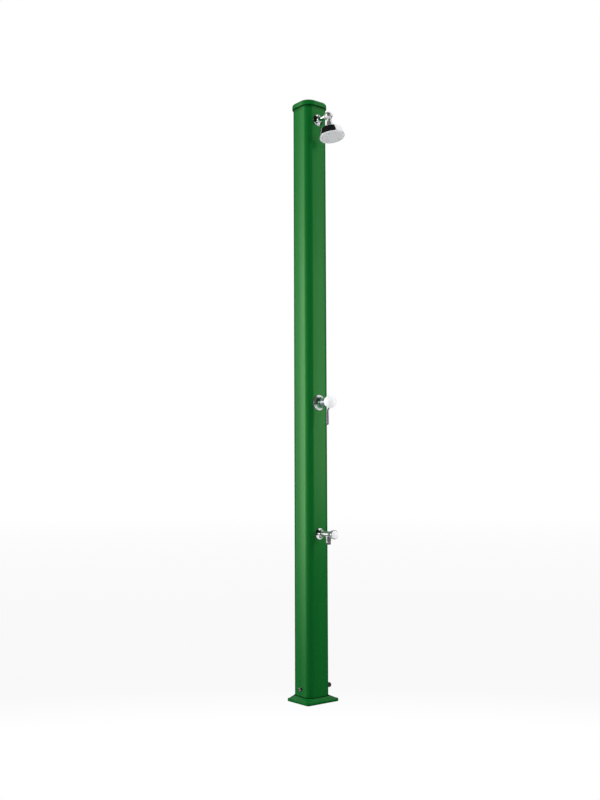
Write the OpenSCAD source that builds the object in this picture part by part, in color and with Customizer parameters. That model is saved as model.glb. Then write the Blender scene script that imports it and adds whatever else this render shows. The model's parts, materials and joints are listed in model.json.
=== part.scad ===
// Garden and pool-side shower column: a square hollow post on a foot plate, with a tilting
// shower head, a lever mixer, a push-button foot tap and a hose inlet low on the right.
// Origin: centre of the column's axis on the ground. +Z is up, the fittings face -Y.

/* [Column] */
// Height of the whole object, foot to cap
total_h = 2200; // [2150:5:2400]
// Width across the flats of the column
col_w = 100; // [100:1:110]
// Corner radius of the column
col_r = 26; // [24:1:30]
// Wall thickness of the column
wall = 3; // [2.5:0.5:3]
// Outer width of the cap
cap_w = 113; // [110:1:118]
// Corner radius of the cap
cap_r = 38; // [34:1:40]

/* [Foot] */
// Width of the foot plate
foot_w = 145; // [140:1:160]
// Reach of the foot plate in front of the column's axis
foot_front = 68; // [62:1:80]
// Reach of the foot plate behind the column's axis
foot_rear = 53; // [53:1:60]
// Thickness of the foot plate
foot_t = 10; // [8:1:14]
// Height of the bevelled collar above the plate
collar_h = 10; // [8:1:14]
// Corner radius of the foot plate
foot_r = 9; // [8:1:14]
// Spacing of the ground bolts, both ways
anchor_pitch = 52; // [46:1:54]
// Diameter of the ground bolt holes
anchor_d = 9; // [7:0.5:10.5]
// Height of the side bolts above the ground
bolt_z = 45.5; // [42:0.5:55]

/* [Hose inlet] */
// Height of the hose inlet
inlet_z = 45.5; // [44:0.5:50]
// How far the hose nipple reaches beyond the column face
inlet_reach = 37; // [33:1:45]
// Diameter of the nipple's collar
nipple_d = 17.6; // [16:0.2:18]

/* [Shower head] */
// Height of the shower arm
shower_z = 2124.5; // [2060:0.5:2135]
// Distance of the knuckle from the column face
arm_reach = 61; // [58:1:90]
// Diameter of the spray face
head_d = 94; // [90:1:110]
// Tilt of the head away from the vertical
head_tilt = 12.5; // [10:0.5:25]

/* [Mixer] */
// Height of the mixer
mixer_z = 1070; // [950:5:1300]
// Length of the lever below the mixer's axis
lever_len = 83; // [65:1:110]
// Diameter of the mixer handle
handle_d = 46; // [44:1:52]

/* [Foot tap] */
// Height of the foot tap
tap_z = 596.5; // [450:0.5:750]

/* [Hidden] */
$fn = 64;

face = col_w / 2;              // outer face of the column, from its axis
inner = face - wall;           // inner face of the column
seam_z = foot_t + collar_h;    // where the column stands on the collar
col_top = total_h - 8;

pipe_y = 25;                   // the pipes stand this far in front of the column's axis
hot_x = -18;                   // the hot pipe stands beside the others
pipe_r = 6;
pipe_bore_r = 4.2;
socket_r = 6.05;
socket_gap = 0.1;              // between a pipe's end and the bottom of its socket
cold_start_z = 175;            // lower end of the cold pipe
tap_stop = 14;                 // pipe ends, from the axis of each fitting
mixer_stop = 24;
shower_stop = 14;

green = [0.10, 0.42, 0.16];
chrome = [0.82, 0.84, 0.86];
brass = [0.78, 0.62, 0.28];
black = [0.08, 0.08, 0.09];
hose_grey = [0.16, 0.17, 0.19];
off_white = [0.86, 0.87, 0.88];
valve_red = [0.45, 0.1, 0.08];
cold_blue = [0.15, 0.3, 0.6];
hot_red = [0.6, 0.15, 0.12];
filter_grey = [0.6, 0.6, 0.6];
mat_grey = [0.75, 0.76, 0.78];
cream = [0.85, 0.85, 0.82];
ceramic = [0.95, 0.95, 0.93];
spring_steel = [0.7, 0.7, 0.72];

// ---------- frames ----------
// +Z points out of the front, left, rear or right of the column; origin on its axis
module front(z) translate([0, 0, z]) rotate([90, 0, 0]) children();
module left(z) translate([0, 0, z]) rotate([0, -90, 0]) children();
module rear(z) translate([0, 0, z]) rotate([-90, 0, 0]) children();
module right(z) translate([0, 0, z]) rotate([0, 90, 0]) children();
// the same, with the origin on the outer face
module front_face(z) front(z) translate([0, 0, face]) children();
module right_face(z) right(z) translate([0, 0, face]) children();
// upright axis of the pipes
module pipe_line(z = 0, x = 0) translate([x, -pipe_y, z]) children();
// four copies at +-x, +-y
module corners(x, y) for (sx = [-1, 1], sy = [-1, 1]) translate([sx * x, sy * y]) children();
// copies round the Z axis
module around(angles, radius)
  for (a = angles) rotate([0, 0, a]) translate([radius, 0, 0]) children();
// two copies, +Z turned to either side
module both_sides() for (s = [-1, 1]) rotate([0, s * 90, 0]) children();

// ---------- shared shapes ----------
// Profiles for turned pieces are [radius, z] points.
module turned(profile) rotate_extrude() polygon(profile);
// cylinder between two heights, and the same with a hole
module cyl(r, z0, z1) translate([0, 0, z0]) cylinder(r = r, h = z1 - z0);
module ring(outer_r, hole_r, z0, z1) difference() {
  cyl(outer_r, z0, z1);
  cyl(hole_r, z0 - 1, z1 + 1);
}
module hex_ring(corner_r, hole_r, z0, z1) difference() {
  cyl(corner_r, z0, z1, $fn = 6);
  cyl(hole_r, z0 - 1, z1 + 1);
}
module o_ring(radius, section_r, sides)
  rotate_extrude() translate([radius, 0]) circle(r = section_r, $fn = sides);
// cylinder centred on the origin, lying along X
module cross_bar(r, length) rotate([0, 90, 0]) cylinder(r = r, h = length, center = true);
// cylinder from one point to another
module rod(from, to, r) {
  run = to - from;
  length = norm(run);
  translate(from) rotate([0, acos(run[2] / length), atan2(run[1], run[0])])
    cylinder(r = r, h = length);
}
// rectangle with round corners
module round_rect(width, depth, r) {
  square([width - 2 * r, depth], center = true);
  square([width, depth - 2 * r], center = true);
  corners(width / 2 - r, depth / 2 - r) circle(r = r);
}
// the column's outline, grown all round
module column_outline(grow) round_rect(col_w + 2 * grow, col_w + 2 * grow, col_r + grow);
module column_block(grow, z0, z1)
  translate([0, 0, z0]) linear_extrude(z1 - z0) column_outline(grow);
// block and ring inside the column, kept a gap away from its inner wall
module core_block(gap, z0, z1) column_block(-wall - gap, z0, z1);
module core_ring(outer_gap, inner_gap, z0, z1)
  translate([0, 0, z0]) linear_extrude(z1 - z0) difference() {
    column_outline(-wall - outer_gap);
    column_outline(-wall - inner_gap);
  }
// section across a block: profile beyond +-high on one side, +-low on the other
module mirrored_section(high, low, profile) polygon(concat(
  [for (p = profile) [high + p[0], p[1]]],
  [for (i = [len(profile) - 1:-1:0]) [-(low + profile[i][0]), profile[i][1]]]));
// a profile [reach beyond the corner centre, z] carried round a rectangle:
// corner centres at +-side, -ahead in front and +behind at the rear
module rect_turn(side, ahead, behind, profile) {
  last = len(profile) - 1;
  for (x = [-side, side], y = [-ahead, behind]) translate([x, y, 0])
    turned(concat([[0, profile[0][1]]], profile, [[0, profile[last][1]]]));
  translate([0, behind, 0]) rotate([90, 0, 0]) linear_extrude(ahead + behind)
    mirrored_section(side, side, profile);
  translate([-side, 0, 0]) rotate([90, 0, 90]) linear_extrude(2 * side)
    mirrored_section(behind, ahead, profile);
}
// flared side of a wall flange: [share of the drop in radius, share of the height]
bell_curve = [[0, 0], [0, 0.10], [0.05, 0.20], [0.16, 0.32], [0.36, 0.45],
  [0.60, 0.60], [0.82, 0.77], [0.95, 0.92], [1, 1]];
// hollow bell-shaped wall flange
module bell(rim_r, top_r, hole_r, height) {
  drop = rim_r - top_r;
  turned(concat([[rim_r - 2.2, 0]],
    [for (p = bell_curve) [rim_r - p[0] * drop, p[1] * height]],
    [[hole_r, height], [hole_r, 0.82 * height], [top_r + 0.30 * drop, 0.55 * height],
     [rim_r - 3.0 - 0.12 * drop, 0.34 * height], [rim_r - 2.2, 0.2 * height]]));
}

// ---------- foot ----------
bolt_hole_r = 4.3;
washer_t = 1.6;
plate_edge = [[foot_r - 0.6, 0], [foot_r, 0.6], [foot_r, foot_t - 1.4],
  [foot_r - 0.5, foot_t - 0.5], [foot_r - 1.6, foot_t]];
bolt_head = [[0, washer_t], [7, washer_t], [7, 3.2], [6.6, 4.6], [5.6, 5.8], [4.2, 6.5], [0, 6.8]];

// one side bolt on the left, one at the rear
module at_bolts() {
  left(bolt_z) children();
  rear(bolt_z) children();
}
module foot() color(green) difference() {
  union() {
    rect_turn(foot_w / 2 - foot_r, foot_front - foot_r, foot_rear - foot_r, plate_edge);
    // hipped skirt that rises from the edges of the plate to the column
    hull() {
      translate([0, (foot_rear - foot_front) / 2, foot_t - 0.6]) linear_extrude(0.6)
        round_rect(foot_w - 7, foot_front + foot_rear - 6, foot_r);
      column_block(3, seam_z - 1.2, seam_z - 1);
      column_block(2.3, seam_z - 0.2, seam_z);
    }
    // spigot inside the column
    core_block(0.3, seam_z - 1, 76);
  }
  core_block(4.3, foot_t, 77);
  corners(anchor_pitch / 2, anchor_pitch / 2) cyl(anchor_d / 2, -1, foot_t + 1);
  // slot that lets the hose inlet and its nut through
  translate([inner - 12, -18, 27]) cube([20, 36, 60]);
  at_bolts() cyl(bolt_hole_r, 30, 60);
  // drain notch at the rear
  translate([-4, 30, foot_t + 0.01]) cube([8, 40, 5]);
}
module foot_bolts() color(chrome) at_bolts() translate([0, 0, face]) difference() {
  union() {
    cyl(4, -12.5, 1.8);
    turned(bolt_head);
  }
  // hexagon socket
  translate([0, 0, 4.2]) cylinder(r = 2.9, h = 4, $fn = 6);
}
module foot_washers() color(chrome) at_bolts() ring(8.2, 4.2, face, face + washer_t);
module foot_nuts() color(chrome) at_bolts() hex_ring(7.5, 4.05, inner - 8.4, inner - 4.35);

// ---------- column, cap and plugs ----------
top_groove_z = total_h - 45;
bottom_groove_z = 137;
groove_h = 4;
valve_z = 164;
// [reach beyond the corner centre, depth below the top]
cap_edge = [[cap_r - 0.6, 22], [cap_r, 21.4], [cap_r, 10], [cap_r - 0.4, 7.4], [cap_r - 1.6, 5],
  [cap_r - 4, 3], [cap_r - 8, 1.5], [cap_r - 14, 0.5], [cap_r - 22, 0]];

module column() color(green) difference() {
  column_block(0, seam_z, col_top);
  core_block(0, seam_z - 1, col_top + 1);
  front(shower_z) cyl(9.5, 40, 60);
  front(mixer_z) cyl(15.5, 40, 60);
  front(tap_z) cyl(11, 40, 60);
  right(inlet_z) cyl(10.5, 40, 60);
  at_bolts() cyl(bolt_hole_r, 40, 60);
}
module cap_cover() difference() {
  corner = cap_w / 2 - cap_r;
  rect_turn(corner, corner, corner, [for (p = cap_edge) [p[0], total_h - p[1]]]);
  column_block(0.2, total_h - 23, col_top + 0.02);
  core_block(3.6, total_h - 31, total_h - 4);
}
// the cover and its push-in ring
module column_cap() color(green) {
  cap_cover();
  core_ring(0.6, 3.6, total_h - 30, total_h - 7.5);
}
module cap_gasket() color(black) core_ring(0.03, 0.57, total_h - 22, total_h - 18.5);
// block with a groove for its seal
module plug(z0, z1, groove_z) difference() {
  core_block(0.25, z0, z1);
  difference() {
    column_block(0, groove_z, groove_z + groove_h);
    core_block(2.3, groove_z - 1, groove_z + groove_h + 1);
  }
}
module plug_seal(groove_z) core_ring(0.02, 2.25, groove_z + 0.1, groove_z + groove_h - 0.1);
module top_plug() color(black) difference() {
  plug(total_h - 52, total_h - 34, top_groove_z);
  core_block(7, total_h - 46, total_h - 33);
}
module top_seal() color(black) plug_seal(top_groove_z);
// side port of the bottom plug, +Z to the rear
module valve_port() pipe_line(valve_z) rotate([-90, 0, 0]) children();
module bottom_plug() color(black) difference() {
  union() {
    plug(130, 148, bottom_groove_z);
    pipe_line() cyl(5.4, 112, 131);
    pipe_line() cyl(10, 147, 186);
    valve_port() cylinder(r = 7, h = 20);
  }
  pipe_line() cyl(3.6, 111, cold_start_z);
  pipe_line() cyl(socket_r, 172, 187);
  valve_port() cylinder(r = 4, h = 21);
}
module bottom_seal() color(black) plug_seal(bottom_groove_z);
// rubber duckbill that lets cold water into the column and none back
module fill_valve() color(valve_red) valve_port() translate([0, 0, 20.05]) difference() {
  union() {
    cylinder(r = 7, h = 2);
    cyl(3.9, -5, 1);
    translate([-4, -1.6, 1]) cube([8, 3.2, 10]);
  }
  cyl(2.4, -6, 2);
  translate([-2.4, -0.5, 1]) cube([4.8, 1, 11]);
}

// ---------- hose inlet ----------
nipple_r = nipple_d / 2;
elbow_x = 16;                              // upright leg of the elbow
hose_low = [elbow_x, 0, inlet_z + 36];     // bends of the hose
hose_high = [0, -pipe_y, 108];
// from the inner end to the tip, with the O-ring groove near the tip
nipple_profile = [[0, -14], [10, -14], [10, 2], [12.5, 2], [12.5, 6], [11.6, 7], [7, 8],
  [6.6, 11], [6.6, 16], [7.4, 18], [nipple_r - 0.3, 19], [nipple_r, 20],
  [nipple_r, inlet_reach - 9], [7.0, inlet_reach - 8.6], [7.0, inlet_reach - 6.2],
  [nipple_r, inlet_reach - 5.8], [nipple_r, inlet_reach - 3.4],
  [nipple_r - 0.6, inlet_reach - 1.6], [nipple_r - 2, inlet_reach], [0, inlet_reach]];

module inlet_nipple() color(black) right_face(inlet_z) difference() {
  turned(nipple_profile);
  cyl(4.6, -20, inlet_reach + 1);
}
module inlet_oring() color(black) right_face(inlet_z)
  translate([0, 0, inlet_reach - 7.4]) o_ring(7.9, 0.88, 24);
module inlet_washer() color(black) right_face(inlet_z) ring(12.3, 10.1, 0, 1.98);
module inlet_nut() color(black) right(inlet_z) hex_ring(15.5, 10.05, inner - 6, inner - 0.02);
module inlet_elbow() color(black) difference() {
  union() {
    right(inlet_z) cyl(12.6, elbow_x, face - 9.2);
    translate([elbow_x, 0, inlet_z]) {
      sphere(r = 12.6);
      cyl(8.6, 0, 15);
      cyl(5.4, 0, 32);
    }
  }
  right(inlet_z) cyl(10.05, face - 14.05, face);
  right(inlet_z) cyl(5, elbow_x, face);
  translate([elbow_x, 0, inlet_z]) {
    sphere(r = 5);
    cyl(3.6, 0, 33);
  }
}
// solid run from the elbow to the bottom plug, with a ball at each bend
module hose_run(r, z0, z1) {
  translate([elbow_x, 0, 0]) cyl(r, z0, hose_low[2]);
  translate(hose_low) sphere(r = r + 0.2);
  rod(hose_low, hose_high, r);
  translate(hose_high) sphere(r = r + 0.2);
  pipe_line() cyl(r, hose_high[2], z1);
}
module inlet_hose() color(hose_grey) difference() {
  hose_run(8, inlet_z + 15.1, 129.9);
  hose_run(5.45, inlet_z + 14, 131);
}

// ---------- pipes ----------
module pipe(z0, z1, x = 0) pipe_line(x = x) ring(pipe_r, pipe_bore_r, z0, z1);
module cold_pipe_lower() color(cold_blue) pipe(cold_start_z, tap_z - tap_stop);
module cold_pipe_upper() color(cold_blue) pipe(tap_z + tap_stop, mixer_z - mixer_stop);
module riser_pipe() color(off_white) pipe(mixer_z + mixer_stop, shower_z - shower_stop);
module hot_pipe() color(hot_red) pipe(mixer_z + mixer_stop, shower_z - 34, hot_x);
// clip that holds the hot pipe and the riser together
module pipe_clip() difference() {
  union() {
    for (x = [0, hot_x]) pipe_line(x = x) cyl(8.2, -5, 5);
    pipe_line(x = hot_x) translate([0, -4, -5]) cube([-hot_x, 8, 10]);
  }
  for (x = [0, hot_x]) pipe_line(x = x) cyl(socket_r, -6, 6);
}
module pipe_clips() color(black) for (share = [0.25, 0.5, 0.75])
  translate([0, 0, mixer_z + share * (shower_z - mixer_z)]) pipe_clip();

// ---------- shower arm and knuckle ----------
arm_r = 9;
arm_socket_r = 9.05;
neck_r = 5;
housing_collar = [[0, -17], [10.8, -17], [11.4, -16.4], [11.4, -11.5], [10.6, -10], [0, -10]];
knuckle_cap_head = [[0, 12.02], [8, 12.02], [8, 12.6], [7.2, 13.3], [5, 13.8], [0, 13.9]];

// origin in the knuckle: upright, +Z to the front, and +Z along the spray
module knuckle() translate([0, -face - arm_reach, shower_z]) children();
module knuckle_front() knuckle() rotate([90, 0, 0]) children();
module spray() knuckle() rotate([-head_tilt, 0, 0]) rotate([180, 0, 0]) children();
// outline swept by a bar that hangs down and swings from one angle to another
function swing(start, end, half_w, length) = concat(
  [[half_w * cos(start), -half_w * sin(start)],
   [half_w * cos(start) - length * sin(start), -half_w * sin(start) - length * cos(start)]],
  [for (k = [1:5]) let (a = start + (end - start) * k / 6)
    [-(length + 1) * sin(a), -(length + 1) * cos(a)]],
  [[-half_w * cos(end) - length * sin(end), half_w * sin(end) - length * cos(end)],
   [-half_w * cos(end), half_w * sin(end)]]);

module arm_elbow() color(brass) difference() {
  union() {
    pipe_line(shower_z) cyl(11, -24, 4);
    pipe_line(shower_z + 4) sphere(r = 11);
    front(shower_z) cyl(14, pipe_y, inner - 2);
  }
  pipe_line(shower_z) {
    cyl(socket_r, -25, -shower_stop + socket_gap);
    cyl(4.5, -15, 0);
    sphere(r = 4.5);
  }
  front(shower_z) cyl(4.5, pipe_y, inner);
  front(shower_z) cyl(arm_socket_r, inner - 14, inner);
}
module arm_gasket() color(black) front(shower_z) ring(14, 9.6, inner - 2, inner);
module arm_locknut() color(brass) front_face(shower_z) hex_ring(13.2, arm_socket_r, 0, 4.6);
module shower_flange() color(chrome) front_face(shower_z) bell(21.5, 10.4, 9.15, 14);
module shower_arm() color(chrome) front_face(shower_z)
  ring(arm_r, 6, -wall - 13.9, arm_reach - 10.1);
module knuckle_housing() color(chrome) difference() {
  union() {
    // ball with flat sides
    knuckle() intersection() {
      sphere(r = 15);
      translate([-12, -20, -20]) cube([24, 40, 40]);
    }
    knuckle_front() turned(housing_collar);
  }
  knuckle_front() cyl(arm_socket_r, -18, -10);
  knuckle_front() cyl(5, -18, 0);
  knuckle() cross_bar(7.05, 40);
  // opening through which the neck swings
  knuckle() rotate([90, 0, 90]) linear_extrude(10.8, center = true)
    polygon(swing(head_tilt - 15.2, head_tilt + 25.2, 5.4, 20));
}
module knuckle_caps() color(chrome) knuckle() both_sides() difference() {
  union() {
    cyl(7, 9.5, 12.05);
    turned(knuckle_cap_head);
  }
  translate([0, 0, 12.4]) cylinder(r = 2.6, h = 3, $fn = 6);
}
module knuckle_barrel() color(chrome) spray() difference() {
  union() {
    cross_bar(7, 18.8);
    cyl(neck_r, 0, 27);
  }
  cyl(3.2, 0, 28);
  cross_bar(3.6, 12);
  // inlet window towards the arm
  rotate([90 + head_tilt, 0, 0]) cylinder(r = 3.4, h = 12);
  // O-ring grooves
  both_sides() ring(8, 5.4, 6.9, 8.3);
}
module barrel_orings() color(black) spray()
  both_sides() translate([0, 0, 7.6]) o_ring(6.2, 0.68, 20);

// ---------- shower head ----------
head_r = head_d / 2;
rim_bore_r = head_r - 2.4;     // bore of the shell's rim
plate_r = head_r - 2.5;        // parts that sit in the rim
nozzle_pitch = 8.6;
head_nut_profile = [[0, 17.6], [8.6, 17.6], [9.4, 18.4], [9.4, 20.6], [8.4, 21.6], [8.4, 22.8],
  [9.4, 25], [11.2, 31], [12.8, 38], [14.2, 45], [14.8, 48], [15, 50], [14.8, 52], [0, 52]];
shell_outside = [[0, 46.1], [11, 46.1], [11, 52.1], [22, 52.5], [30, 53.6], [head_r - 10.5, 55.6],
  [head_r - 7.2, 58], [head_r - 5.6, 60.6], [head_r - 2.6, 74], [head_r - 0.6, 84.6],
  [head_r, 86], [head_r, 87.2], [head_r - 0.8, 88], [0, 88]];
shell_hollow = [[0, 55.2], [head_r - 12.5, 57.4], [head_r - 8.6, 60.5], [head_r - 7.4, 62.4],
  [head_r - 4.4, 80], [rim_bore_r, 80], [rim_bore_r, 89], [0, 89]];
plate_profile = [[0, 83], [plate_r, 83], [plate_r, 86.4], [head_r - 4.6, 86.4],
  [head_r - 5.2, 87], [0, 87.4]];
// nozzle positions: one in the middle and rings of 6, 12, 18 and 24
nozzles = concat([[0, 0]], [for (k = [1:4], i = [0:6 * k - 1])
  let (a = i * 60 / k + 7 * k) [k * nozzle_pitch * cos(a), k * nozzle_pitch * sin(a)]]);

module head_nut() color(chrome) spray() difference() {
  turned(head_nut_profile);
  cyl(5.05, 16, 28);
  cyl(7.5, 27.1, 47);
  cyl(11.05, 46, 53);
}
module inlet_filter() color(filter_grey) spray() difference() {
  cyl(7.4, 30, 32);
  around([0:60:300], 4.2) cyl(1.5, 29, 33, $fn = 16);
  cyl(1.5, 29, 33, $fn = 16);
}
module head_shell() color(chrome) spray() difference() {
  turned(shell_outside);
  cyl(6, 40, 60);
  turned(shell_hollow);
}
module head_seal() color(black) spray() ring(plate_r, head_r - 6, 80.02, 82.9);
module nozzle_mat() color(mat_grey) spray() {
  cyl(head_r - 6.2, 80.7, 82.9);
  for (p = nozzles) translate(p) cyl(1.2, 82, 88.6);
}
module spray_plate() color(off_white) spray() difference() {
  turned(plate_profile);
  for (p = nozzles) translate(p) cyl(1.3, 80, 90);
}

// ---------- mixer ----------
handle_r = handle_d / 2;
pivot_out = 44;                // axis on which the lever tips, from the column face
lever_seat = 10;               // axis of the lever, beyond the pivot
lever_set = 7.5;               // the blade is cranked back by this much
blade_top = 22.2;              // start of the blade below the mixer's axis
blade_end = lever_len - 5.5;   // centre of its rounded end
cross_port_r = 1.9;
ports = [[0, -5], [4.4, 3], [-4.4, 3]];    // [x, y] on the mixer's axis, y up
handle_skirt = [[16.4, 4], [18.2, 4], [18.8, 5], [handle_r - 2.2, 10], [handle_r - 0.5, 14.5]];
handle_dome = [for (a = [0:7.5:82.5]) [handle_r * cos(a), 18 + 20 * sin(a)]];
// crown, stem hole and hollow inside
handle_inside = [[0, 38], [0, 24.1], [4.02, 24.1], [4.02, 11.3], [7, 11.3], [7, 34],
  [handle_r - 10, 31.5], [handle_r - 5.4, 26], [handle_r - 3.4, 18], [16.4, 11.5]];

module at_ports() for (p = ports) translate(p) children();
// +Z out of the front, origin on the axis on which the lever tips
module pivot() front_face(mixer_z) translate([0, 0, pivot_out]) children();

module mixer_body() color(brass) difference() {
  union() {
    front(mixer_z) cyl(20, 8, inner - 2);
    front(mixer_z) cyl(15, inner - 3, face + 10);
    front(mixer_z) cyl(13.2, face, face + 36);
    pipe_line(mixer_z) cyl(8.6, -34, 34);
    pipe_line(mixer_z, hot_x) cyl(8.4, 0, 34);
  }
  front(mixer_z) cyl(10, face, face + 37);
  pipe_line(mixer_z) {
    cyl(socket_r, -35, -mixer_stop + socket_gap);
    cyl(4, -25, -5);
    cyl(4, 5, 25);
    cyl(socket_r, mixer_stop - socket_gap, 35);
  }
  pipe_line(mixer_z, hot_x) {
    cyl(socket_r, mixer_stop - socket_gap, 35);
    cyl(4, 3, 25);
  }
  front(mixer_z) at_ports() cyl(2.2, pipe_y - 2, face + 1);
  // cross-drillings that join the ports
  pipe_line(mixer_z + 5, hot_x) rotate([0, 90, 0]) cylinder(r = cross_port_r, h = 12);
  pipe_line(mixer_z + 8) rotate([0, 90, 0]) cylinder(r = cross_port_r, h = 6);
}
module mixer_gasket() color(black) front(mixer_z) ring(20, 15.6, inner - 2, inner);
module mixer_locknut() color(brass) front_face(mixer_z) hex_ring(19.6, 15.05, 0, 5);
module mixer_flange() color(chrome) front_face(mixer_z) bell(28, 14.8, 13.35, 17);
module mixer_cartridge() color(cream) front_face(mixer_z) difference() {
  cyl(9.9, 0.02, 30);
  cyl(8, 3, 31);
  at_ports() cyl(2, -1, 4);
}
module fixed_disc() color(ceramic) front_face(mixer_z) difference() {
  cyl(7.9, 3, 6);
  at_ports() cyl(2, 2, 7);
}
module moving_disc() color(ceramic) front_face(mixer_z) difference() {
  cyl(7.85, 6.02, 9);
  // chamber in the back, round with one flat
  difference() {
    cyl(6, 5, 7.6);
    translate([-9, 0.8, 0]) cube([18, 9, 12]);
  }
}
module cartridge_nut() color(chrome) front_face(mixer_z) difference() {
  union() {
    cyl(9.95, 30.02, 37);
    intersection() {
      translate([0, 0, pivot_out]) sphere(r = 15.5);
      cyl(20, 36.02, pivot_out + 6);
    }
  }
  cyl(8.3, 29, 39);
  translate([0, 0, 38]) cylinder(r1 = 8.3, r2 = 10.2, h = 13);
}
module mixer_turret() color(cream) front_face(mixer_z) difference() {
  cyl(7.94, 9.04, pivot_out + 4.4);
  translate([-2.65, -10, pivot_out - 7]) cube([5.3, 20, 20]);
  translate([0, 0, pivot_out]) cross_bar(1.52, 30);
}
module turret_pin() color(chrome) pivot() cross_bar(1.5, 14.4, $fn = 32);
module lever_stem() color(brass) pivot() difference() {
  union() {
    translate([-2.5, -4, -5]) cube([5, 8, 13.2]);
    cyl(4, 8, 24);
  }
  cross_bar(1.56, 30);
}
// origin in the handle, +Z down along the lever, +Y to the front
module lever_axis() translate([0, 0, lever_seat]) rotate([90, 0, 0]) children();
module mixer_handle() color(chrome) pivot() difference() {
  turned(concat(handle_skirt, handle_dome, handle_inside));
  lever_axis() cyl(3.02, 10, 30);
}
module mixer_lever() color(chrome) pivot() lever_axis() {
  cyl(3, 17, 24);
  translate([-4, -lever_set - 3, blade_top]) cube([8, lever_set + 6, 4.6]);
  translate([0, -lever_set, blade_top]) linear_extrude(blade_end - blade_top) {
    square([5, 6], center = true);
    for (s = [-1, 1]) translate([s * 2.5, 0]) circle(r = 3, $fn = 32);
  }
  translate([0, -lever_set, blade_end]) rotate([90, 0, 0])
    cylinder(r = 5.5, h = 6, center = true);
}

// ---------- foot tap ----------
spout_out = 48;                // axis of the spout, from the column face
barrel_profile = [[0, -wall - 11.9], [10.5, -wall - 11.9], [10.5, 57], [11.2, 60], [13, 66],
  [15.2, 73], [16.4, 77.5], [16.8, 80], [16.8, 82.4], [16.2, 83], [0, 83]];
spout_profile = [[0, 0], [10.2, 0], [10.1, -10], [9.3, -20], [8.5, -30.4], [8.2, -31], [0, -31]];
piston_profile = [[0, 29.5], [6, 29.5], [6, 31], [6.3, 31], [6.3, 33.9], [3, 33.98], [3, 47],
  [4.5, 48], [4.5, 84], [0, 84]];
button_profile = [[0, 80.3], [13.35, 80.3], [13.35, 84.5], [12.9, 86], [11.6, 87.4], [9, 88.6],
  [5, 89.5], [0, 89.8]];
insert_profile = [[0, -36], [7.4, -36], [8.2, -35.2], [8.2, -31.05], [6.45, -31.05],
  [6.45, -25], [0, -25]];

module spout() translate([0, -face - spout_out, tap_z]) children();
module tap_tee() color(brass) difference() {
  union() {
    pipe_line(tap_z) cyl(10, -24, 24);
    front(tap_z) cyl(14.6, pipe_y - 6, inner - 2);
  }
  pipe_line(tap_z) {
    cyl(socket_r, -25, -tap_stop + socket_gap);
    cyl(pipe_bore_r, -15, 15);
    cyl(socket_r, tap_stop - socket_gap, 25);
  }
  front(tap_z) cyl(4.5, pipe_y, inner);
  front(tap_z) cyl(10.55, inner - 12, inner);
}
module tap_gasket() color(black) front(tap_z) ring(14.6, 11, inner - 2, inner);
module tap_flange() color(chrome) front_face(tap_z) bell(20, 11.8, 10.65, 15);
module tap_body() color(chrome) difference() {
  union() {
    front_face(tap_z) turned(barrel_profile);
    spout() turned(spout_profile);
  }
  front_face(tap_z) {
    cyl(7.2, -wall - 13, 34);
    cyl(4.6, 33, 39);
    cyl(7.5, 38, 53);
    cyl(9, 52.9, 74);
    cyl(13.6, 73, 84);
  }
  spout() cyl(6.5, -37, 0);
}
module tap_gland() color(brass) front_face(tap_z) difference() {
  cyl(8.95, 53.02, 61);
  cyl(4.55, 50, 65);
  around([45:90:315], 6.8) cyl(0.9, 58, 62, $fn = 24);
}
module tap_piston() color(brass) front_face(tap_z) turned(piston_profile);

// coil with round wire
coil_turns = 5;
turn_steps = 20;
wire_sides = 6;
wire_r = 0.8;
coil_r = 7.6;
coil_rise = 21.15;
coil_steps = coil_turns * turn_steps;
coil_points = [for (i = [0:coil_steps], j = [0:wire_sides - 1])
  let (turn = 360 * i / turn_steps, side = 360 * j / wire_sides, r = coil_r + wire_r * cos(side))
  [r * cos(turn), r * sin(turn), coil_rise * i / coil_steps + wire_r * sin(side)]];
// two end faces, then two triangles for each side of each step
coil_faces = concat(
  [[for (j = [0:wire_sides - 1]) j]],
  [[for (j = [wire_sides - 1:-1:0]) coil_steps * wire_sides + j]],
  [for (i = [0:coil_steps - 1], j = [0:wire_sides - 1], half = [0, 1])
    let (k = (j + 1) % wire_sides, near = i * wire_sides, far = near + wire_sides)
    half == 0 ? [near + j, far + j, far + k] : [near + j, far + k, near + k]]);
module tap_spring() color(spring_steel) front_face(tap_z) translate([0, 0, 61.9])
  polyhedron(points = coil_points, faces = coil_faces);

module tap_button() color(off_white) front_face(tap_z) difference() {
  turned(button_profile);
  ring(11.2, 5.6, 70, 84);
  cyl(4.52, 70, 84.1);
}
// rubber outlet with seven jets, which ends the spout
module spout_insert() color(black) spout() difference() {
  turned(insert_profile);
  cyl(5.2, -37, -29);
  around([0:60:300], 3.4) cyl(0.9, -30, -24);
  cyl(0.9, -30, -24);
}

foot();
foot_bolts();
foot_washers();
foot_nuts();
column();
column_cap();
cap_gasket();
top_plug();
top_seal();
bottom_plug();
bottom_seal();
fill_valve();
inlet_nipple();
inlet_oring();
inlet_washer();
inlet_nut();
inlet_elbow();
inlet_hose();
cold_pipe_lower();
cold_pipe_upper();
hot_pipe();
riser_pipe();
pipe_clips();
arm_elbow();
arm_gasket();
arm_locknut();
shower_flange();
shower_arm();
knuckle_housing();
knuckle_caps();
knuckle_barrel();
barrel_orings();
head_nut();
inlet_filter();
head_shell();
head_seal();
nozzle_mat();
spray_plate();
mixer_body();
mixer_gasket();
mixer_locknut();
mixer_flange();
mixer_cartridge();
fixed_disc();
moving_disc();
cartridge_nut();
mixer_turret();
turret_pin();
lever_stem();
mixer_handle();
mixer_lever();
tap_tee();
tap_gasket();
tap_flange();
tap_body();
tap_gland();
tap_piston();
tap_spring();
tap_button();
spout_insert();
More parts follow.
